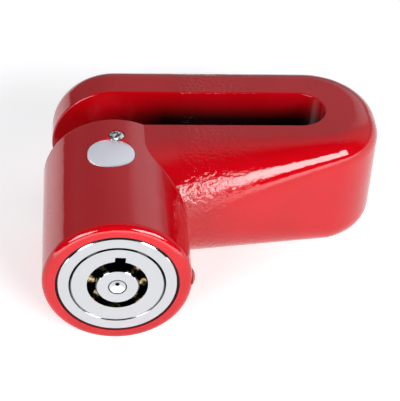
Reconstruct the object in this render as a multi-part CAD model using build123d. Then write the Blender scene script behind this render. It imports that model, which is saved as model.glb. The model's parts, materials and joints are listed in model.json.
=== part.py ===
"""Disc brake lock: a slotted clamp body with a push-in tubular lock.

Frame, in millimetres: the origin is on the locking pin's axis, half-way across the slot.
+Y runs along that axis from the barrel's mouth to the far leg, +X runs from the open
mouth of the slot to its closed end, and +Z is up. The rest pose is locked: plunger
pushed in, pin across the slot.
"""

import os
from math import atan, cos, radians, sin, tan

from build123d import *

# ---------------------------------------------------------------- lock and key sizes
key_post_r = 3.53  # centre post that a 7 mm tubular key slides over
key_gap = 1.42  # width of the ring-shaped keyway
key_notch_width = 1.75
key_notch_depth = 0.85
notch_turn = 4.0  # degrees the core sits turned clockwise from upright
plunger_r = 9.7
sleeve_wall = 1.82
face_edge = 0.12
core_edge = 0.3
core_length = 16.0
lip_thickness = 1.0  # front lip of the core, which keeps the key pins in
key_reach = 3.5  # depth of the keyway below the front plane
post_proud = 0.5
centre_mark_r = 1.4  # countersunk centre in the post's end
centre_mark_depth = 0.65
centre_drill_r = 0.35
centre_drill_depth = 1.5
tumbler_r = 0.85
tumbler_angles = [notch_turn + 45 * step for step in range(1, 8)]  # clockwise from the notch
flange_rim = 0.3  # metal outside the key pins' holes
flange_thickness = 2.9
shear_relief = 1.1  # free space between rotor flange and pin carrier
driver_length = 4.0
driver_hole_depth = 7.0
neck_drop = 0.4  # how much slimmer the post is behind its head, and its hub again
tail_r = 2.4
drive_offset = 1.0  # throw of the drive pin on the rotor's tail
drive_pin_r = 0.8
drive_start = 60.0  # degrees clockwise from up

# ---------------------------------------------------------------- latch and plunger
latch_width = 6.0
latch_thickness = 2.4
latch_catch = 0.85  # how far the latch stands into its keeper
latch_travel = 1.0
latch_foot = 4.0  # how far the latch reaches below the axis
latch_spring_length = 3.6
web_thickness = 0.7
spring_pocket_depth = 3.4
boss_r = 4.4
rear_gap = 1.5

# ---------------------------------------------------------------- locking pin
pin_r = 3.0
shank_r = 2.5
shank_seat = 0.4  # how deep the shank's end sits in the plunger's web
pin_tip_edge = 0.75
pin_engagement = 4.0  # how far the pin enters the far leg
pin_retract = 0.4  # how far the pin hides behind the slot's near face
bush_wall = 1.4
dowel_r = 0.6

# ---------------------------------------------------------------- clamp body
barrel_wall = 2.45
end_wall = 4.4  # casting between barrel bore and slot
slot_width = 9.5
slot_depth = 37.0  # from the pin's axis to the closed end
reach = 46.6  # from the pin's axis to the far right wall
plate_step = 1.05  # the barrel stands this proud of the plate's flats
near_leg_root = 18.0  # near leg's thickness at the pin's axis
near_leg_tip = 4.2  # and at the far right wall, before its corner is rounded
far_leg = 8.9
far_leg_overhang = 10.8
back_corner_r = 12.4
near_corner_r = 11.2
shoulder_r = 4.3  # rounding of the plate's outer edges
shoulder_growth = 0.25  # how fast it widens along the near wall towards the barrel
slot_edge_r = 0.3
junction_r = 0.5  # rounding where the barrel meets the near leg
mouth_edge_r = 1.2

# ---------------------------------------------------------------- small fittings
cover_r = 4.0
cover_at = (-0.8, 9.35)  # across from the axis, and back from the slot's near face
cover_bottom_drop = 1.3
cover_height = 0.95
cover_edge = 0.25
access_r = 2.6
stake_r = 1.35
stake_at = (0.2, 4.5)
seal_thickness = 0.6
seal_width = 0.3
guide_r = 0.8
guide_head_r = 1.4
guide_head_proud = 0.5
guide_depth = 2.0  # from the mouth to the guide pin's axis
guide_bite = 0.9  # how far the guide pin enters the plunger
retainer_r = 0.8
retainer_angle = notch_turn + 157.5  # between two tumblers
retainer_depth = 12.0

# ---------------------------------------------------------------- springs
return_wire_r = 0.4
return_turns = 3.2
return_spring_r = 5.55
tumbler_wire_r = 0.14
tumbler_turns = 9
latch_wire_r = 0.18
latch_turns = 6
washer_thickness = 0.5
washer_rim = 1.0  # washer's width outside the return spring

# ---------------------------------------------------------------- clearances
sliding = 0.05  # radial, between parts that slide or turn in each other
fitted = 0.02  # radial, between parts that are held fast
side_play = 0.1  # beside the latch, and around ends that must not touch
spring_play = 0.15  # beside a coil spring
match = 0.01  # how closely an edge has to fit a place to be picked for rounding

# ---------------------------------------------------------------- derived places
barrel_r = plunger_r + sliding + barrel_wall
half_height = barrel_r - plate_step
near_face = -slot_width / 2
far_face = slot_width / 2
near_wall_slope = atan((near_leg_root - near_leg_tip) / reach)
travel = slot_width + pin_engagement + pin_retract
key_hole_r = key_post_r + key_gap
tumbler_pitch_r = key_post_r + key_gap / 2
flange_r = tumbler_pitch_r + tumbler_r + flange_rim
cavity_r = flange_r + sliding
neck_r = key_post_r - neck_drop
core_r = plunger_r - sleeve_wall
hub_r = neck_r - neck_drop

latch_slot = latch_thickness + 2 * side_play
plunger_length = core_length + side_play + latch_slot + web_thickness + spring_pocket_depth
bore_floor = near_face - end_wall
plunger_rear = bore_floor - rear_gap
front = plunger_rear - plunger_length

lip_rear = front + lip_thickness
flange_front = front + key_reach
flange_rear = flange_front + flange_thickness
shear_plane = flange_rear + shear_relief
core_rear = front + core_length
core_seat = core_rear + side_play
latch_front = core_seat + side_play
latch_rear = latch_front + latch_thickness
latch_middle = (latch_front + latch_rear) / 2
web_rear = core_seat + latch_slot + web_thickness
tumbler_front = lip_rear + fitted
tumbler_rear = flange_rear + side_play
driver_rear = tumbler_rear + driver_length
driver_hole_end = shear_plane + driver_hole_depth
keeper_r = plunger_r + sliding + latch_catch
keeper_relief_r = keeper_r + side_play
washer_front = bore_floor - washer_thickness
pin_tip = far_face + pin_engagement
shank_front = web_rear - shank_seat
guide_y = front + guide_depth
groove_floor_r = plunger_r - guide_bite - side_play
cover_x, cover_y = cover_at[0], near_face - cover_at[1]
stake_x, stake_y = stake_at[0], near_face - stake_at[1]
cover_bottom = barrel_r - cover_bottom_drop


# ---------------------------------------------------------------- helpers
def rod(radius, start, end, x=0, z=0):
    """A round bar along Y from start to end."""
    return Pos(x, (start + end) / 2, z) * Rot(X=90) * Cylinder(radius, end - start)


def tube(outer, inner, start, end):
    return rod(outer, start, end) - rod(inner, start - 1, end + 1)


def block(low, high):
    """A box between two opposite corners."""
    size = [b - a for a, b in zip(low, high)]
    middle = [(a + b) / 2 for a, b in zip(low, high)]
    return Pos(*middle) * Box(*size)


def clock(radius, angle):
    """x and z of a point at an angle clockwise from up, seen from the mouth."""
    return radius * sin(radians(angle)), radius * cos(radians(angle))


def coil(mean_r, wire_r, length, turns):
    """A round-wire spring along Z, standing on Z = 0."""
    rise = length - 2 * wire_r
    path = Helix(pitch=rise / turns, height=rise, radius=mean_r)
    start = Plane(origin=path @ 0, z_dir=path % 0)
    return Pos(0, 0, wire_r) * sweep(start * Circle(wire_r), path=path)


def along_y(shape, start, x=0, z=0):
    """Stands a shape made along Z on the plane Y = start, pointing to +Y."""
    return Pos(x, start, z) * Rot(X=-90) * shape


def at_tumblers(shape_at):
    """One solid from shape_at(x, z) for each tumbler's axis."""
    return [shape_at(*clock(tumbler_pitch_r, angle)) for angle in tumbler_angles]


# ---------------------------------------------------------------- clamp body
def clamp_plate():
    """The plate that both legs are cut from, with its outer edges rounded."""
    left = -far_leg_overhang
    near_left = near_face - near_leg_root + left * tan(near_wall_slope)
    near_right = near_face - near_leg_tip
    back = far_face + far_leg
    sides = Polyline((left, near_left), (reach, near_right), (reach, back), (left, back), close=True)
    outline = make_face(sides)
    near_corner = outline.vertices().group_by(Axis.X)[-1].sort_by(Axis.Y)[0]
    outline = fillet(near_corner, near_corner_r)
    back_corner = outline.vertices().sort_by_distance(Vector(reach, back, 0))[0]
    outline = fillet(back_corner, back_corner_r)
    plan = extrude(outline, half_height, both=True)
    end_x = left + half_height
    profile = Pos((end_x + reach) / 2, 0) * Rectangle(reach - end_x, 2 * half_height)
    profile += Pos(end_x, 0) * Circle(half_height)
    plate = plan & extrude(Plane.XZ * profile, 2 * reach, both=True)
    rims = plate.edges().filter_by(Axis.Z, reverse=True)
    rims = rims.filter_by(lambda edge: abs(edge.center().X - end_x) > side_play)
    plate = fillet(rims, shoulder_r)
    cut = shoulder_cut()
    return plate - cut - mirror(cut, about=Plane.XY)


def shoulder_corner(radius, distance):
    """The waste outside a shoulder of this radius, at a distance along the near wall
    from its right corner."""
    slope = near_wall_slope
    corner_x = reach - near_corner_r + near_corner_r * sin(slope)
    x = corner_x - distance * cos(slope)
    y = near_face - near_leg_root + x * tan(slope)
    low = half_height - radius
    top = half_height + shoulder_r
    out = -shoulder_r
    lean = radius * (1 - cos(radians(45)))
    sides = Polyline((0, low), (out, low), (out, top), (radius, top), (radius, half_height))
    round_side = ThreePointArc((0, low), (lean, half_height - lean), (radius, half_height))
    across = Plane(origin=(x, y, 0), x_dir=(-sin(slope), cos(slope), 0), z_dir=(cos(slope), sin(slope), 0))
    return across * make_face([*sides.edges(), round_side])


def shoulder_cut():
    """Waste above the near leg's shoulder, which widens from the corner to a half round
    at the barrel."""
    widest = half_height - side_play
    length = (widest - shoulder_r) / shoulder_growth
    sections = [
        shoulder_corner(shoulder_r, 0),
        shoulder_corner(widest, length),
        shoulder_corner(widest, length + barrel_r),
    ]
    return loft(sections, ruled=True)


def slot_cut():
    """The slot for the brake disc, open to the left and through both flats."""
    closed_r = slot_width / 2
    centre_x = slot_depth - closed_r
    tall = 4 * half_height
    cut = block((-3 * barrel_r, near_face, -tall / 2), (centre_x, far_face, tall / 2))
    return cut + Pos(centre_x, 0, 0) * Cylinder(closed_r, tall)


def on_junction(edge):
    """True for an edge where the barrel's round side meets the plate."""
    middle = edge.position_at(0.5)
    on_barrel = abs(middle.X**2 + middle.Z**2 - barrel_r**2) < 10 * match
    return on_barrel and near_face - near_leg_root < middle.Y < near_face - end_wall / 2


def on_slot_rim(edge):
    """True for an edge where the slot's wall comes out of the clamp."""
    closed_r = slot_width / 2
    centre_x = slot_depth - closed_r
    for place in (edge.position_at(share) for share in (0.25, 0.5, 0.75)):
        across = max(place.X - centre_x, 0) ** 2 + place.Y**2
        if abs(across - closed_r**2) > match:
            return False
    return True


def keeper_cut():
    """The groove in the bore that the latch springs into, as long as the plunger's travel."""
    half = latch_width / 2 + side_play
    start = latch_front - travel - side_play
    end = latch_rear + side_play
    groove = block((-half, start, 0), (half, end, 2 * keeper_relief_r))
    return groove & rod(keeper_relief_r, start, end)


def down_from_top(radius, x, y, bottom):
    """A drill that enters the barrel from above and stops at bottom."""
    top = barrel_r + 1
    return Pos(x, y, (bottom + top) / 2) * Cylinder(radius, top - bottom)


def guide_shank(radius):
    """A drill or pin through the barrel's right wall into the plunger's groove."""
    start = plunger_r - guide_bite
    return Pos((start + barrel_r) / 2, guide_y, 0) * Rot(Y=90) * Cylinder(radius, barrel_r - start)


def make_body_casting():
    """The painted clamp: barrel, both legs, and every hole in them."""
    body = clamp_plate() + rod(barrel_r, front, near_face)
    body = fillet(body.edges().filter_by(on_junction), junction_r)
    body -= slot_cut()
    body = fillet(body.edges().filter_by(on_slot_rim), slot_edge_r)
    mouth = body.edges().filter_by(GeomType.CIRCLE).group_by(Axis.Y)[0]
    body = fillet(mouth, mouth_edge_r)
    bore_r = plunger_r + sliding
    body -= rod(bore_r, front - 1, bore_floor)
    body -= rod(bore_r + seal_width, front - 1, front + side_play + seal_thickness)
    bush_r = pin_r + sliding + bush_wall
    body -= rod(bush_r, bore_floor - 1, near_face + 1)
    body -= rod(bush_r, far_face - 1, pin_tip + 1)
    body -= keeper_cut()
    body -= down_from_top(cover_r, cover_x, cover_y, cover_bottom)
    body -= down_from_top(access_r, cover_x, cover_y, pin_r)
    body -= down_from_top(stake_r, stake_x, stake_y, cover_bottom)
    return body - guide_shank(guide_r)


# ---------------------------------------------------------------- fittings in the body
def make_near_bush():
    """Hard bush that guides the locking pin through the near leg."""
    hole_r = pin_r + sliding
    return tube(hole_r + bush_wall, hole_r, bore_floor, near_face)


def make_far_bush():
    """Blind hard cup in the far leg that takes the locking pin's tip."""
    hole_r = pin_r + sliding
    cup = rod(hole_r + bush_wall, far_face, pin_tip + 1)
    cup -= rod(hole_r, far_face - 1, pin_tip + side_play)
    mouth = cup.edges().filter_by(GeomType.CIRCLE).group_by(Axis.Y)[0].sort_by(SortBy.RADIUS)[0]
    return chamfer(mouth, cover_edge)


def make_cover_plug():
    """Flat steel disc that closes the latch's keeper, a little below the barrel's crown."""
    middle = cover_bottom + cover_height / 2
    plug = Pos(cover_x, cover_y, middle) * Cylinder(cover_r, cover_height)
    top = plug.faces().sort_by(Axis.Z)[-1]
    plug = fillet(top.edges(), cover_edge)
    return plug - down_from_top(stake_r, stake_x, stake_y, cover_bottom)


def make_stake_pin():
    """Pin driven in on the cover plug's edge, half in the plug and half in the casting."""
    pin = down_from_top(stake_r, stake_x, stake_y, cover_bottom)
    return pin & rod(barrel_r - cover_edge, front, near_face)


def make_guide_pin():
    """Pin that keeps the plunger from turning and from coming out, with a domed head."""
    ball_r = (guide_head_r**2 + guide_head_proud**2) / (2 * guide_head_proud)
    ball = Pos(barrel_r + guide_head_proud - ball_r, guide_y, 0) * Sphere(ball_r)
    head_length = 2 * guide_head_proud
    head = Pos(barrel_r, guide_y, 0) * Rot(Y=90) * Cylinder(guide_head_r, 2 * head_length)
    head = (head & ball) - rod(barrel_r, front, near_face)
    return head + guide_shank(guide_r)


def make_mouth_seal():
    """Rubber wiper ring in the barrel's mouth."""
    inner = plunger_r + sliding
    start = front + side_play
    return tube(inner + seal_width, inner, start, start + seal_thickness)


def make_spring_washer():
    return tube(spring_pocket_r() + washer_rim, pin_r + side_play, washer_front, bore_floor)


def spring_pocket_r():
    return return_spring_r + return_wire_r + spring_play


# ---------------------------------------------------------------- plunger
def make_plunger_sleeve():
    """Chromed plunger that carries the lock core in front and the locking pin behind."""
    sleeve = rod(plunger_r, front, plunger_rear)
    ends = sleeve.edges().filter_by(GeomType.CIRCLE)
    sleeve = chamfer(ends, face_edge)
    sleeve -= rod(core_r, front - 1, core_seat)
    half = latch_width / 2 + side_play
    channel_end = core_seat + latch_slot
    low = -latch_foot - latch_travel - side_play
    sleeve -= block((-half, core_seat - 1, low), (half, channel_end, 2 * plunger_r))
    spring_hole_r = latch_coil_r() + latch_wire_r + side_play
    depth = latch_spring_length - latch_travel
    sleeve -= Pos(0, latch_middle, low - depth / 2) * Cylinder(spring_hole_r, depth)
    sleeve -= tube(spring_pocket_r(), boss_r, web_rear, plunger_rear + 1)
    sleeve -= rod(shank_r, shank_front, plunger_rear + 1)
    sleeve -= block(
        (plunger_r - guide_bite - side_play, guide_y - guide_r - side_play, -guide_r - side_play),
        (2 * plunger_r, guide_y + travel + guide_r + side_play, guide_r + side_play),
    )
    sleeve -= make_dowel()
    return sleeve - make_core_retainer()


def latch_coil_r():
    return latch_thickness / 2 - latch_wire_r - side_play


def make_locking_pin():
    """Hardened pin that crosses the slot, with a shank held in the plunger's boss."""
    pin = rod(pin_r, plunger_rear, pin_tip)
    tip = pin.edges().filter_by(GeomType.CIRCLE).sort_by(Axis.Y)[-1]
    pin = chamfer(tip, pin_tip_edge)
    pin += rod(shank_r, shank_front, plunger_rear)
    return pin - make_dowel()


def make_dowel():
    """Cross dowel through the boss and the locking pin's shank."""
    middle = (web_rear + plunger_rear) / 2
    return Pos(0, middle, 0) * Rot(Y=90) * Cylinder(dowel_r, 2 * boss_r - side_play)


def make_core_shell():
    """Front of the lock core: the ring round the keyway, with its notch."""
    shell = rod(core_r, front, core_rear)
    rim = shell.edges().filter_by(GeomType.CIRCLE).group_by(Axis.Y)[0]
    shell = chamfer(rim, core_edge)
    shell -= rod(cavity_r, lip_rear, core_rear + 1)
    shell -= rod(key_hole_r, front - 1, lip_rear + 1)
    notch_top = key_hole_r + key_notch_depth
    half = key_notch_width / 2
    notch = block((-half, front - 1, key_post_r), (half, flange_front, notch_top))
    return shell - Rot(Y=notch_turn) * notch - make_core_retainer()


def make_core_retainer():
    """Cross pin that holds shell and pin carrier in the plunger."""
    x, z = clock(1, retainer_angle)
    inner = tumbler_pitch_r + tumbler_r / 2
    outer = plunger_r - side_play
    middle = (inner + outer) / 2
    pin = Rot(Y=retainer_angle) * Cylinder(retainer_r, outer - inner)
    return Pos(middle * x, front + retainer_depth, middle * z) * pin


def make_pin_carrier():
    """Fixed rear half of the lock core, with blind holes for the driver pins."""
    carrier = rod(cavity_r - fitted, shear_plane, core_rear)
    carrier -= rod(tail_r + sliding, shear_plane - 1, core_rear + 1)
    hole_r = tumbler_r + sliding
    for hole in at_tumblers(lambda x, z: rod(hole_r, shear_plane - 1, driver_hole_end, x, z)):
        carrier -= hole
    return carrier - make_core_retainer()


def make_rotor():
    """Turning part of the core: post, flange with the key pins' holes, tail and drive pin."""
    post_end = front - post_proud
    post = rod(key_post_r, post_end, lip_rear - side_play)
    edge = post.edges().filter_by(GeomType.CIRCLE).sort_by(Axis.Y)[0]
    post = chamfer(edge, cover_edge)
    mark_middle = post_end + centre_mark_depth / 2
    post -= Pos(0, mark_middle, 0) * Rot(X=90) * Cone(centre_drill_r, centre_mark_r, centre_mark_depth)
    post -= rod(centre_drill_r, post_end, post_end + centre_drill_depth)
    rotor = post + rod(neck_r, lip_rear - side_play, flange_front)
    flange = rod(flange_r, flange_front, flange_rear)
    hole_r = tumbler_r + sliding
    for hole in at_tumblers(lambda x, z: rod(hole_r, flange_front - 1, flange_rear + 1, x, z)):
        flange -= hole
    rotor += flange
    rotor += rod(hub_r, flange_rear, shear_plane - sliding)
    rotor += rod(tail_r, shear_plane - sliding, core_rear)
    x, z = clock(drive_offset, drive_start)
    return rotor + rod(drive_pin_r, core_rear, latch_rear - side_play, x, z)


def make_latch_bolt():
    """Sliding latch with a window that the rotor's drive pin lifts and lowers."""
    half = latch_width / 2
    plate = block((-half, latch_front, -latch_foot), (half, latch_rear, 2 * keeper_r))
    plate &= rod(keeper_r, latch_front, latch_rear)
    x, z = clock(drive_offset, drive_start)
    left = x - drive_pin_r - side_play
    right = drive_offset + drive_pin_r + side_play
    low = z - drive_pin_r - sliding
    high = z + drive_pin_r + sliding
    return plate - block((left, latch_front - 1, low), (right, latch_rear + 1, high))


def make_latch_spring():
    spring = coil(latch_coil_r(), latch_wire_r, latch_spring_length, latch_turns)
    return Pos(0, latch_middle, -latch_foot - latch_spring_length) * spring


def make_return_spring():
    length = washer_front - web_rear
    spring = coil(return_spring_r, return_wire_r, length, return_turns)
    return along_y(spring, web_rear)


def make_key_pin(x, z):
    return rod(tumbler_r, tumbler_front, tumbler_rear - fitted, x, z)


def make_driver_pin(x, z):
    return rod(tumbler_r, tumbler_rear, driver_rear, x, z)


def make_tumbler_spring(x, z):
    length = driver_hole_end - driver_rear
    mean_r = tumbler_r - tumbler_wire_r
    return along_y(coil(mean_r, tumbler_wire_r, length, tumbler_turns), driver_rear, x, z)


# ---------------------------------------------------------------- all pieces
def make_all():
    pieces = {
        "body_casting": make_body_casting(),
        "near_leg_bush": make_near_bush(),
        "far_leg_bush": make_far_bush(),
        "cover_plug": make_cover_plug(),
        "stake_pin": make_stake_pin(),
        "guide_pin": make_guide_pin(),
        "mouth_seal": make_mouth_seal(),
        "spring_washer": make_spring_washer(),
        "return_spring": make_return_spring(),
        "plunger_sleeve": make_plunger_sleeve(),
        "locking_pin": make_locking_pin(),
        "pin_dowel": make_dowel(),
        "core_shell": make_core_shell(),
        "core_retainer": make_core_retainer(),
        "pin_carrier": make_pin_carrier(),
        "core_rotor": make_rotor(),
        "latch_bolt": make_latch_bolt(),
        "latch_spring": make_latch_spring(),
    }
    for number, angle in enumerate(tumbler_angles, start=1):
        x, z = clock(tumbler_pitch_r, angle)
        pieces[f"key_pin_{number}"] = make_key_pin(x, z)
        pieces[f"driver_pin_{number}"] = make_driver_pin(x, z)
        pieces[f"tumbler_spring_{number}"] = make_tumbler_spring(x, z)
    return pieces


os.makedirs("parts", exist_ok=True)
for node, shape in make_all().items():
    export_step(shape, f"parts/{node}.step")
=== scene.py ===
# %% [markdown]
# # A disc brake lock, dressed for the studio
# The lock is a red clamp that slips over a motorcycle's brake disc. A steel pin crosses the
# slot, and a round plunger with a tubular lock in its face pushes that pin home. This
# lesson adds what CAD leaves out: paint, plating, turned marks, soft edges and light.

# %% Load the frame
import json
import math

import bpy
from mathutils import Matrix, Vector

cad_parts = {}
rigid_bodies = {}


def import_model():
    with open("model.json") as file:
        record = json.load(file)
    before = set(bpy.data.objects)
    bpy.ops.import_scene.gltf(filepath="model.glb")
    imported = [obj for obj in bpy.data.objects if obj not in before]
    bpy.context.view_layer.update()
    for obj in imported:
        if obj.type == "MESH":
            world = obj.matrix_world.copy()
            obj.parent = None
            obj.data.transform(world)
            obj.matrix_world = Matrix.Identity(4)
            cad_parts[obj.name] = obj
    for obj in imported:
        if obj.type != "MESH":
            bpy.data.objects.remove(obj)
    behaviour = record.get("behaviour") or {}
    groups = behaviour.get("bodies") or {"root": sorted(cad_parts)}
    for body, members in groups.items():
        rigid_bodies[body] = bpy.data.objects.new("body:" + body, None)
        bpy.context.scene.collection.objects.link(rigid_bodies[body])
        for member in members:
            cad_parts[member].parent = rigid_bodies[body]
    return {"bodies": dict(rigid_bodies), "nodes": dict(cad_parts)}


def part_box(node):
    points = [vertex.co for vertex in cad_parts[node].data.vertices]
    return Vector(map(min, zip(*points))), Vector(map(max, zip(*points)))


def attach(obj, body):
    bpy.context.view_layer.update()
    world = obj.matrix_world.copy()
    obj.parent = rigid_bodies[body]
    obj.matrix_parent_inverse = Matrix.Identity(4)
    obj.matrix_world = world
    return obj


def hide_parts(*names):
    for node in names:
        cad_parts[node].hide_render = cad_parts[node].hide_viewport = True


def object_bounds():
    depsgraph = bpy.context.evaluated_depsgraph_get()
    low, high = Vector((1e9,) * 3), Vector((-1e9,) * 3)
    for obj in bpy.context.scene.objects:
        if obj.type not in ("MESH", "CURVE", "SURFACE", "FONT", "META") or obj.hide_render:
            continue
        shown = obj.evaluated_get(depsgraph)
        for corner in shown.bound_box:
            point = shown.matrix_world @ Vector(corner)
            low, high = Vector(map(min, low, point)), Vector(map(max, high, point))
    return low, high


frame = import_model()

cad_low, cad_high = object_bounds()
nodes = frame["nodes"]
print("CAD box in mm:", [round(1000 * (b - a), 2) for a, b in zip(cad_low, cad_high)])

# %% [markdown]
# Blender works in metres and a lock is small, so sizes are written in millimetres and
# multiplied by `MM`. Places are read from the CAD nodes' own boxes, so nothing has to be
# fitted by eye: the plunger tells us where the front plane is.

# %% Places read from the frame
MM = 0.001
face_low, face_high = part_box("plunger_sleeve")
FRONT_Y = face_low.y
PLUNGER_R = face_high.x
print("front plane at y =", round(FRONT_Y / MM, 2), "mm, plunger radius", round(PLUNGER_R / MM, 2))

# %% [markdown]
# ## The camera
# A long lens flattens a small object, so the camera stands well back and looks down on the
# lock from the front. We build its rotation from three directions: right, up and back.

# %% Camera
LENS_MM = 136.5
TARGET = Vector((14.95, -10.43, -1.11)) * MM
CAMERA_DISTANCE = 264.7 * MM
CAMERA_AZIMUTH = math.radians(-6.36)
CAMERA_ELEVATION = math.radians(38.83)
CAMERA_ROLL = math.radians(4.03)


def camera_matrix(target, distance, azimuth, elevation, roll):
    """A camera's place and rotation, looking at target from azimuth and elevation."""
    back = Vector((math.sin(azimuth) * math.cos(elevation),
                   -math.cos(azimuth) * math.cos(elevation), math.sin(elevation)))
    right = Vector((math.cos(azimuth), math.sin(azimuth), 0))
    up = back.cross(right)
    turned_right = right * math.cos(roll) + up * math.sin(roll)
    turned_up = up * math.cos(roll) - right * math.sin(roll)
    turn = Matrix((turned_right, turned_up, back)).transposed().to_4x4()
    return Matrix.Translation(target + back * distance) @ turn


camera_data = bpy.data.cameras.new("camera")
camera_data.lens = LENS_MM
camera_data.clip_start = 0.01
camera = bpy.data.objects.new("camera", camera_data)
camera.matrix_world = camera_matrix(
    TARGET, CAMERA_DISTANCE, CAMERA_AZIMUTH, CAMERA_ELEVATION, CAMERA_ROLL)
bpy.context.scene.collection.objects.link(camera)
bpy.context.scene.camera = camera
bpy.context.scene.view_settings.view_transform = "Standard"
print("camera at", [round(v / MM) for v in camera.matrix_world.translation], "mm")

# %% [markdown]
# ## Light
# Gloss paint and chrome show their surroundings more than their own colour. A studio
# for them is made with panels: bright ones to show as long soft reflections, and
# dark gaps between them so the red can stay deep. The world shader below is such a room.
# It is grey behind the lock and dark in front, with one soft bright panel at the back right.

# %% World
def compass(azimuth, elevation):
    """A direction from degrees to the right of +Y and degrees above the floor."""
    turn, rise = math.radians(azimuth), math.radians(elevation)
    return Vector((math.sin(turn) * math.cos(rise), math.cos(turn) * math.cos(rise), math.sin(rise)))


world = bpy.data.worlds.new("studio")
world.use_nodes = True
bpy.context.scene.world = world
room = world.node_tree
room.nodes.clear()


def room_node(kind, **settings):
    node = room.nodes.new(kind)
    for name, value in settings.items():
        setattr(node, name, value)
    return node


def room_range(output, low, high, to_low, to_high):
    """A smooth step of one number from low..high to to_low..to_high."""
    step = room_node("ShaderNodeMapRange", interpolation_type="SMOOTHSTEP")
    for name, number in (("From Min", low), ("From Max", high), ("To Min", to_low), ("To Max", to_high)):
        step.inputs[name].default_value = number
    room.links.new(output, step.inputs["Value"])
    return step.outputs["Result"]


def room_math(operation, first, second):
    step = room_node("ShaderNodeMath", operation=operation)
    room.links.new(first, step.inputs[0])
    room.links.new(second, step.inputs[1])
    return step.outputs[0]


look = room_node("ShaderNodeTexCoord").outputs["Generated"]
split = room_node("ShaderNodeSeparateXYZ")
room.links.new(look, split.inputs[0])
wall = room_range(split.outputs["Z"], 0.0, 0.35, 0.26, 0.50)
behind = room_range(split.outputs["Y"], -0.18, 0.30, 0.03, 1.0)
left_to_right = room_range(split.outputs["X"], -0.5, 0.45, 0.62, 1.2)
toward = room_node("ShaderNodeVectorMath", operation="DOT_PRODUCT")
room.links.new(look, toward.inputs[0])
toward.inputs[1].default_value = compass(32, 24)
bright_panel = room_range(toward.outputs["Value"], 0.94, 0.995, 0.0, 0.52)
shade = room_math("MULTIPLY", room_math("MULTIPLY", wall, behind), left_to_right)
backdrop = room_node("ShaderNodeBackground")
backdrop.inputs["Color"].default_value = (0.98, 0.99, 1.05, 1)
room.links.new(room_math("ADD", shade, bright_panel), backdrop.inputs["Strength"])
room_out = room_node("ShaderNodeOutputWorld")
room.links.new(backdrop.outputs[0], room_out.inputs["Surface"])
print("world has", len(room.nodes), "nodes")

# %% [markdown]
# Two soft boxes stand in front, one to each side, a little above the lock. The right one
# draws the long white line on the clamp's shoulder. Both show as short arcs on the rounded
# rim of the barrel, and between them the rim stays plain red.

# %% Soft boxes
BOX_DISTANCE = 900.0 * MM


def soft_box(name, azimuth, elevation, width, height, power):
    """A rectangular light that faces the lock; azimuth is in degrees to the right of +Y."""
    data = bpy.data.lights.new(name, "AREA")
    data.shape = "RECTANGLE"
    data.size, data.size_y = width * MM, height * MM
    data.energy = power
    light = bpy.data.objects.new(name, data)
    away = compass(azimuth, elevation)
    light.location = TARGET + away * BOX_DISTANCE
    light.rotation_euler = (-away).to_track_quat("-Z", "Y").to_euler()
    bpy.context.scene.collection.objects.link(light)
    return light


soft_box("soft box right", 143, 25, 600, 320, 9.0)
soft_box("soft box left", 220, 23, 520, 320, 6.0)

# %% [markdown]
# ## The floor
# A pale light table. The chrome and the low sides of the clamp mirror it, so it matters even
# where it only shows as white. It glows a little more towards the front, where the
# long low reflections on the clamp's near side come from.

# %% Floor
GLOW_STARTS = -62.0 * MM
GLOW_FULL = -115.0 * MM
bpy.ops.object.select_all(action="DESELECT")
bpy.ops.mesh.primitive_plane_add(size=6.0, location=(0, 0, cad_low.z))
floor = bpy.context.object
floor.name = "floor"
floor_paint = bpy.data.materials.new("floor")
floor_paint.use_nodes = True
floor_tree = floor_paint.node_tree
floor_shader = floor_tree.nodes["Principled BSDF"]
floor_shader.inputs["Base Color"].default_value = (0.87, 0.88, 0.88, 1)
floor_shader.inputs["Roughness"].default_value = 0.9
floor_shader.inputs["Specular IOR Level"].default_value = 0.0
floor_shader.inputs["Emission Color"].default_value = (1.0, 1.0, 1.0, 1)
floor_place = floor_tree.nodes.new("ShaderNodeTexCoord")
floor_split = floor_tree.nodes.new("ShaderNodeSeparateXYZ")
floor_tree.links.new(floor_place.outputs["Object"], floor_split.inputs[0])
glow = floor_tree.nodes.new("ShaderNodeMapRange")
glow.interpolation_type = "SMOOTHSTEP"
for socket, value in (("From Min", GLOW_STARTS), ("From Max", GLOW_FULL), ("To Min", 0.42), ("To Max", 3.0)):
    glow.inputs[socket].default_value = value
floor_tree.links.new(floor_split.outputs["Y"], glow.inputs["Value"])
floor_tree.links.new(glow.outputs["Result"], floor_shader.inputs["Emission Strength"])
floor.data.materials.append(floor_paint)

# %% [markdown]
# ## Materials
# Every finish below starts from the same few helpers: a shader, coordinates in
# millimetres, noise, a range for a number and a bump.

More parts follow.
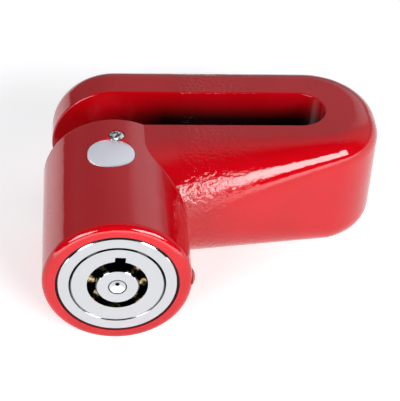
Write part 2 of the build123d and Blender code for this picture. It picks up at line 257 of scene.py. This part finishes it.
# %% Material helpers
class Finish:
    """A material with its Principled shader and short ways to add nodes to it."""

    def __init__(self, name, colour, metallic=0.0, roughness=0.4):
        self.material = bpy.data.materials.new(name)
        self.material.use_nodes = True
        self.tree = self.material.node_tree
        self.shader = self.tree.nodes["Principled BSDF"]
        self.set("Base Color", (*colour, 1))
        self.set("Metallic", metallic)
        self.set("Roughness", roughness)
        coords = self.node("ShaderNodeTexCoord")
        scale = self.node("ShaderNodeVectorMath")
        scale.operation = "SCALE"
        scale.inputs["Scale"].default_value = 1 / MM
        self.link(coords.outputs["Object"], scale.inputs[0])
        self.mm = scale.outputs[0]

    def node(self, kind):
        return self.tree.nodes.new(kind)

    def link(self, output, socket):
        self.tree.links.new(output, socket)

    def set(self, name, value):
        self.shader.inputs[name].default_value = value

    def noise(self, size, detail=3.0, stretch=(1, 1, 1), rough=0.5):
        """Noise whose lumps are about size millimetres, stretched along an axis."""
        place = self.node("ShaderNodeMapping")
        place.inputs["Scale"].default_value = tuple(1 / (size * s) for s in stretch)
        self.link(self.mm, place.inputs["Vector"])
        noise = self.node("ShaderNodeTexNoise")
        noise.inputs["Scale"].default_value = 1.0
        noise.inputs["Detail"].default_value = detail
        noise.inputs["Roughness"].default_value = rough
        self.link(place.outputs[0], noise.inputs["Vector"])
        return noise.outputs["Fac"]

    def radius(self):
        """Distance from the Y axis in millimetres."""
        split = self.node("ShaderNodeSeparateXYZ")
        self.link(self.mm, split.inputs[0])
        squares = [self.math("MULTIPLY", split.outputs[axis], split.outputs[axis]) for axis in "XZ"]
        return self.math("SQRT", self.math("ADD", *squares))

    def rings(self, size, detail=2.0):
        """Turned rings round the Y axis, about size millimetres apart."""
        noise = self.node("ShaderNodeTexNoise")
        noise.noise_dimensions = "1D"
        noise.inputs["Scale"].default_value = 1 / size
        noise.inputs["Detail"].default_value = detail
        self.link(self.radius(), noise.inputs["W"])
        return noise.outputs["Fac"]

    def math(self, operation, a, b=None):
        step = self.node("ShaderNodeMath")
        step.operation = operation
        for socket, value in zip(step.inputs, (a, b)):
            if value is None:
                continue
            if isinstance(value, (int, float)):
                socket.default_value = value
            else:
                self.link(value, socket)
        return step.outputs[0]

    def span(self, value, low, high, from_low=0.3, from_high=0.7):
        """Value moved from its own range to low..high."""
        step = self.node("ShaderNodeMapRange")
        for name, number in (("From Min", from_low), ("From Max", from_high),
                             ("To Min", low), ("To Max", high)):
            step.inputs[name].default_value = number
        self.link(value, step.inputs["Value"])
        return step.outputs["Result"]

    def blend(self, factor, first, second):
        """First colour where factor is 0, second where it is 1; either may be an output."""
        step = self.node("ShaderNodeMix")
        step.data_type = "RGBA"
        self.link(factor, step.inputs["Factor"])
        for name, colour in (("A", first), ("B", second)):
            if isinstance(colour, tuple):
                step.inputs[name].default_value = (*colour, 1)
            else:
                self.link(colour, step.inputs[name])
        return step.outputs["Result"]

    def feed(self, name, output):
        self.link(output, self.shader.inputs[name])

    def bump(self, *layers):
        """Bump from (height, depth in mm) pairs, one over another."""
        normal = None
        for height, depth in layers:
            step = self.node("ShaderNodeBump")
            step.inputs["Strength"].default_value = 1.0
            step.inputs["Distance"].default_value = depth * MM
            self.link(height, step.inputs["Height"])
            if normal:
                self.link(normal, step.inputs["Normal"])
            normal = step.outputs[0]
        self.feed("Normal", normal)
        return normal


def dress(material, *names):
    """Puts a material on CAD nodes."""
    for name in names:
        nodes[name].material_slots[0].material = material


# %% [markdown]
# ### Red paint
# The clamp is a zinc casting under thick gloss lacquer. Such paint is never flat: it keeps
# a faint orange peel, about a millimetre from lump to lump, that breaks up the edge of
# every reflection. The colour drifts a little where the coat is thicker, and deep in the slot
# the red is darkened to near black as painted shade.

# %% Red paint
SLOT_R = 4.75
SLOT_END_CENTRE = 32.25


def slot_shade_mask(paint, split):
    """Painted shade: 1 deep on the slot's walls and 0 everywhere else."""
    past_centre = paint.math("MAXIMUM", paint.math("SUBTRACT", split.outputs["X"], SLOT_END_CENTRE), 0.0)
    across = paint.math("ADD", paint.math("MULTIPLY", past_centre, past_centre),
                        paint.math("MULTIPLY", split.outputs["Y"], split.outputs["Y"]))
    on_wall = paint.math("LESS_THAN", across, (SLOT_R + 0.05) ** 2)
    depth = paint.math("ABSOLUTE", split.outputs["Z"])
    deep = paint.span(depth, 0.0, 1.0, 11.0, 5.5)
    inside = paint.span(split.outputs["X"], 0.25, 1.0, -2.0, 9.0)
    return paint.math("MULTIPLY", on_wall, paint.math("MULTIPLY", deep, inside))


def red_paint():
    paint = Finish("paint red", (0.37, 0.0008, 0.004), roughness=0.35)
    drift = paint.span(paint.noise(9.0, detail=2.0), 0, 1)
    colour = paint.blend(drift, (0.35, 0.0006, 0.003), (0.39, 0.001, 0.005))
    split = paint.node("ShaderNodeSeparateXYZ")
    paint.link(paint.mm, split.inputs[0])
    slot_shade = slot_shade_mask(paint, split)
    # painted shade: the slot's walls go near black further down inside the slot
    paint.feed("Base Color", paint.blend(slot_shade, colour, (0.012, 0.002, 0.002)))
    paint.set("Specular IOR Level", 0.0)
    paint.set("Coat Weight", 1.0)
    paint.feed("Coat Roughness", paint.span(paint.noise(3.0), 0.03, 0.07))
    past_barrel = paint.span(split.outputs["X"], 0.05, 1.0, 9.5, 12.5)
    before_end = paint.span(split.outputs["X"], 1.0, 0.06, 14, 28)
    near_root = paint.math("MULTIPLY", past_barrel, before_end)
    peel = paint.math("MULTIPLY", paint.noise(0.7, detail=3.0), near_root)
    normal = paint.bump((paint.noise(2.5, detail=1.0), 0.025), (peel, 0.2))
    paint.link(normal, paint.shader.inputs["Coat Normal"])
    return paint.material


paint = red_paint()
dress(paint, "body_casting", "guide_pin")

# %% [markdown]
# ### Metals
# Chrome on the lock face, ground steel on the pin, brass tumblers. Turned parts carry fine
# rings round their axis, ground parts fine lines along it.

# %% Metals
CHROME = (0.57, 0.58, 0.60)
# near-black colour painted in as shade in the chrome's grooves, chamfers and keyway
PAINTED_SHADE = (0.012, 0.012, 0.010)
CENTRE_MARK_R = 1.35
KEYWAY_R = 6.5


def plated(name, *shade_marks):
    """Turned chrome, with painted shade marks given as functions that make a mask from 0 to 1."""
    metal = Finish(name, CHROME, metallic=1.0, roughness=0.08)
    rings = metal.rings(0.12)
    metal.feed("Roughness", metal.span(rings, 0.04, 0.12))
    metal.bump((rings, 0.0015), (metal.noise(3.0), 0.006))
    if shade_marks:
        mask = None
        for mark in shade_marks:
            new = mark(metal)
            mask = new if mask is None else metal.math("MAXIMUM", mask, new)
        # painted shade: the masked places are coloured near black
        metal.feed("Base Color", metal.blend(mask, CHROME, PAINTED_SHADE))
        in_mark = metal.math("LESS_THAN", metal.radius(), CENTRE_MARK_R)
        smooth = metal.span(rings, 0.04, 0.12)
        metal.feed("Roughness", metal.math("MAXIMUM", smooth, metal.math("MULTIPLY", in_mark, 0.5)))
    return metal.material


def keyway_shade(metal):
    """Painted shade: the keyway's walls are darkened from just below the face."""
    split = metal.node("ShaderNodeSeparateXYZ")
    metal.link(metal.mm, split.inputs[0])
    start = FRONT_Y / MM
    depth = metal.span(split.outputs["Y"], 0.0, 1.0, start + 0.1, start + 0.35)
    return metal.math("MULTIPLY", depth, metal.math("LESS_THAN", metal.radius(), KEYWAY_R))


def shade_ring(radius, width, lower=1.0):
    """A painted shade line round the axis, standing in for the shade in a groove, on a chamfer or in a
    drilled centre; lower is its strength at the bottom.
    """
    def mark(metal):
        off = metal.math("ABSOLUTE", metal.math("SUBTRACT", metal.radius(), radius))
        line = metal.math("LESS_THAN", off, width / 2)
        if lower == 1.0:
            return line
        split = metal.node("ShaderNodeSeparateXYZ")
        metal.link(metal.mm, split.inputs[0])
        return metal.math("MULTIPLY", line, metal.span(split.outputs["Z"], lower, 1.0, -4.0, 2.0))
    return mark


def bright_plug():
    metal = Finish("bright plug", (0.84, 0.85, 0.92), metallic=0.55, roughness=0.35)
    lines = metal.noise(0.15, stretch=(12, 1, 1))
    metal.feed("Roughness", metal.span(lines, 0.28, 0.42))
    metal.bump((lines, 0.001), (metal.noise(2.0), 0.004))
    return metal.material


def ground_steel():
    metal = Finish("ground steel", (0.56, 0.57, 0.59), metallic=1.0, roughness=0.28)
    lines = metal.noise(0.12, stretch=(1, 14, 1))
    metal.feed("Roughness", metal.span(lines, 0.2, 0.42))
    metal.bump((lines, 0.003))
    return metal.material


def staked_steel():
    metal = Finish("staked steel", (0.5, 0.52, 0.53), metallic=0.7, roughness=0.4)
    lumps = metal.noise(0.45, detail=4.0)
    bright = metal.span(lumps, 0, 1, 0.42, 0.6)
    metal.feed("Base Color", metal.blend(bright, (0.05, 0.05, 0.05), (0.86, 0.88, 0.90)))
    metal.bump((lumps, 0.1))
    return metal.material


def spring_wire():
    metal = Finish("spring wire", (0.42, 0.43, 0.45), metallic=1.0, roughness=0.35)
    metal.feed("Roughness", metal.span(metal.noise(0.3), 0.25, 0.5))
    metal.bump((metal.noise(0.15), 0.002))
    return metal.material


def brass():
    metal = Finish("brass", (0.30, 0.21, 0.08), metallic=1.0, roughness=0.3)
    tarnish = metal.noise(0.9, detail=3.0)
    clean = metal.span(tarnish, 0, 1, 0.42, 0.62)
    metal.feed("Base Color", metal.blend(clean, (0.02, 0.015, 0.008), (0.62, 0.48, 0.24)))
    metal.bump((metal.rings(0.08), 0.002))
    return metal.material


def rubber():
    skin = Finish("seal rubber", (0.008, 0.008, 0.009), roughness=0.8)
    skin.set("Specular IOR Level", 0.15)
    skin.feed("Roughness", skin.span(skin.noise(0.4), 0.7, 0.9))
    skin.bump((skin.noise(0.12), 0.004))
    return skin.material


plate = plated("chrome plate")
# painted shade: a near-black line over the shell's groove chamfer, strongest at the top, and the keyway's
# walls
shell_plate = plated("chrome shell", keyway_shade, shade_ring(7.7, 0.5, lower=0.25))
# painted shade on the post: a ring for the centre drill's edge, a dot for its pilot hole, a line over the
# outer chamfer that is strongest at the top, and the keyway's walls
post_plate = plated("chrome post", keyway_shade, shade_ring(1.43, 0.2), shade_ring(0.0, 0.5),
                    shade_ring(3.45, 0.2, lower=0.5))
plug_metal = bright_plug()
steel = ground_steel()
stake_metal = staked_steel()
wire = spring_wire()
gold = brass()
black = rubber()
dress(plate, "plunger_sleeve")
dress(shell_plate, "core_shell")
dress(post_plate, "core_rotor")
dress(plug_metal, "cover_plug")
dress(stake_metal, "stake_pin")
dress(steel, "locking_pin", "near_leg_bush", "far_leg_bush", "pin_dowel", "core_retainer", "latch_bolt")
dress(wire, "return_spring", "spring_washer", "latch_spring")
dress(gold, "pin_carrier")
dress(black, "mouth_seal")
for number in range(1, 8):
    dress(gold, f"key_pin_{number}", f"driver_pin_{number}")
    dress(wire, f"tumbler_spring_{number}")

# %% [markdown]
# ## Pieces modelled again
# The smallest pieces that show are worth more than their CAD shapes. Each is built in place
# from a primitive, takes the CAD node's body and then stands in for it.

# %% Modelling helpers
def fresh(add, **settings):
    """A new primitive with nothing else selected."""
    bpy.ops.object.select_all(action="DESELECT")
    add(**settings)
    return bpy.context.object


def apply_modifier(piece, kind, **settings):
    """Adds a modifier, sets it and applies it."""
    bpy.context.view_layer.objects.active = piece
    modifier = piece.modifiers.new(kind.lower(), kind)
    for name, value in settings.items():
        setattr(modifier, name, value)
    bpy.ops.object.modifier_apply(modifier=modifier.name)


def drill(piece, radius, place):
    """Cuts an upright hole into piece with a long cylinder, and throws the cylinder away."""
    tool = fresh(bpy.ops.mesh.primitive_cylinder_add, vertices=256, radius=radius,
                 depth=60 * MM, location=place)
    piece.select_set(True)
    apply_modifier(piece, "BOOLEAN", operation="DIFFERENCE", object=tool, solver="EXACT")
    bpy.data.objects.remove(tool)


def hand_over(piece, name, node, material, sharp=35):
    """Fixes piece in place, dresses it and lets it stand for its CAD node."""
    bpy.ops.object.select_all(action="DESELECT")
    piece.select_set(True)
    bpy.context.view_layer.objects.active = piece
    bpy.ops.object.transform_apply(location=True, rotation=True, scale=True)
    bpy.ops.object.shade_smooth_by_angle(angle=math.radians(sharp))
    piece.name = name
    piece.data.materials.clear()
    piece.data.materials.append(material)
    body = next(b for b, empty in frame["bodies"].items() if nodes[node].parent == empty)
    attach(piece, body)
    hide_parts(node)
    print(name, len(piece.data.vertices), "vertices, on", body)


# %% [markdown]
# The cover plug is a short flat disc with a bite out of its edge for the stake pin. A narrow
# bevel round its top catches the light.

# %% Cover plug
plug_low, plug_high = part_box("cover_plug")
plug_centre = (plug_low + plug_high) / 2
plug_r = (plug_high.x - plug_low.x) / 2 - 0.07 * MM
stake_low, stake_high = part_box("stake_pin")
stake_centre = (stake_low + stake_high) / 2
BARREL_R = -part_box("body_casting")[0].z
plug = fresh(bpy.ops.mesh.primitive_cylinder_add, vertices=128, radius=plug_r,
             depth=plug_high.z - plug_low.z, location=plug_centre)
drill(plug, 1.2 * MM, (stake_centre.x, stake_centre.y, 0))
apply_modifier(plug, "BEVEL", width=0.22 * MM, segments=3, limit_method="ANGLE",
               angle_limit=math.radians(40))
hand_over(plug, "plug_disc", "cover_plug", plug_metal)

# %% [markdown]
# The stake pin was struck with a punch, so its head is a squashed lump. A ball is flattened
# and pushed about by a cloud pattern until it looks struck.

# %% Stake pin
stake = fresh(bpy.ops.mesh.primitive_uv_sphere_add, segments=64, ring_count=40, radius=1.32 * MM,
              location=(stake_centre.x, stake_centre.y, BARREL_R - 0.3 * MM), scale=(1, 1, 0.42))
bpy.ops.object.transform_apply(location=False, rotation=False, scale=True)
dents = bpy.data.textures.new("dents", "CLOUDS")
dents.noise_scale = 0.75 * MM
apply_modifier(stake, "DISPLACE", texture=dents, strength=0.45 * MM, mid_level=0.5, texture_coords="LOCAL")
hand_over(stake, "stake_head", "stake_pin", stake_metal, sharp=60)

# %% [markdown]
# The mouth seal is a thin rubber ring. The key pins are short brass rods with rounded ends,
# each on its own body so that the key can push them in one by one.

# %% Seal and key pins
seal_low, seal_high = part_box("mouth_seal")
seal = fresh(bpy.ops.mesh.primitive_torus_add, major_segments=160, minor_segments=16,
             major_radius=seal_high.x - 0.17 * MM, minor_radius=0.17 * MM,
             location=(0, (seal_low.y + seal_high.y) / 2, 0), rotation=(math.radians(90), 0, 0))
seal.scale = (1, 1, 1.7)
hand_over(seal, "seal_ring", "mouth_seal", black)

for number in range(1, 8):
    pin_low, pin_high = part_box(f"key_pin_{number}")
    pin_centre = (pin_low + pin_high) / 2
    pin = fresh(bpy.ops.mesh.primitive_cylinder_add, vertices=64, radius=(pin_high.x - pin_low.x) / 2,
                depth=pin_high.y - pin_low.y, location=pin_centre, rotation=(math.radians(90), 0, 0))
    apply_modifier(pin, "BEVEL", width=0.3 * MM, segments=5, limit_method="ANGLE",
                   angle_limit=math.radians(40))
    hand_over(pin, f"tumbler_{number}", f"key_pin_{number}", gold)
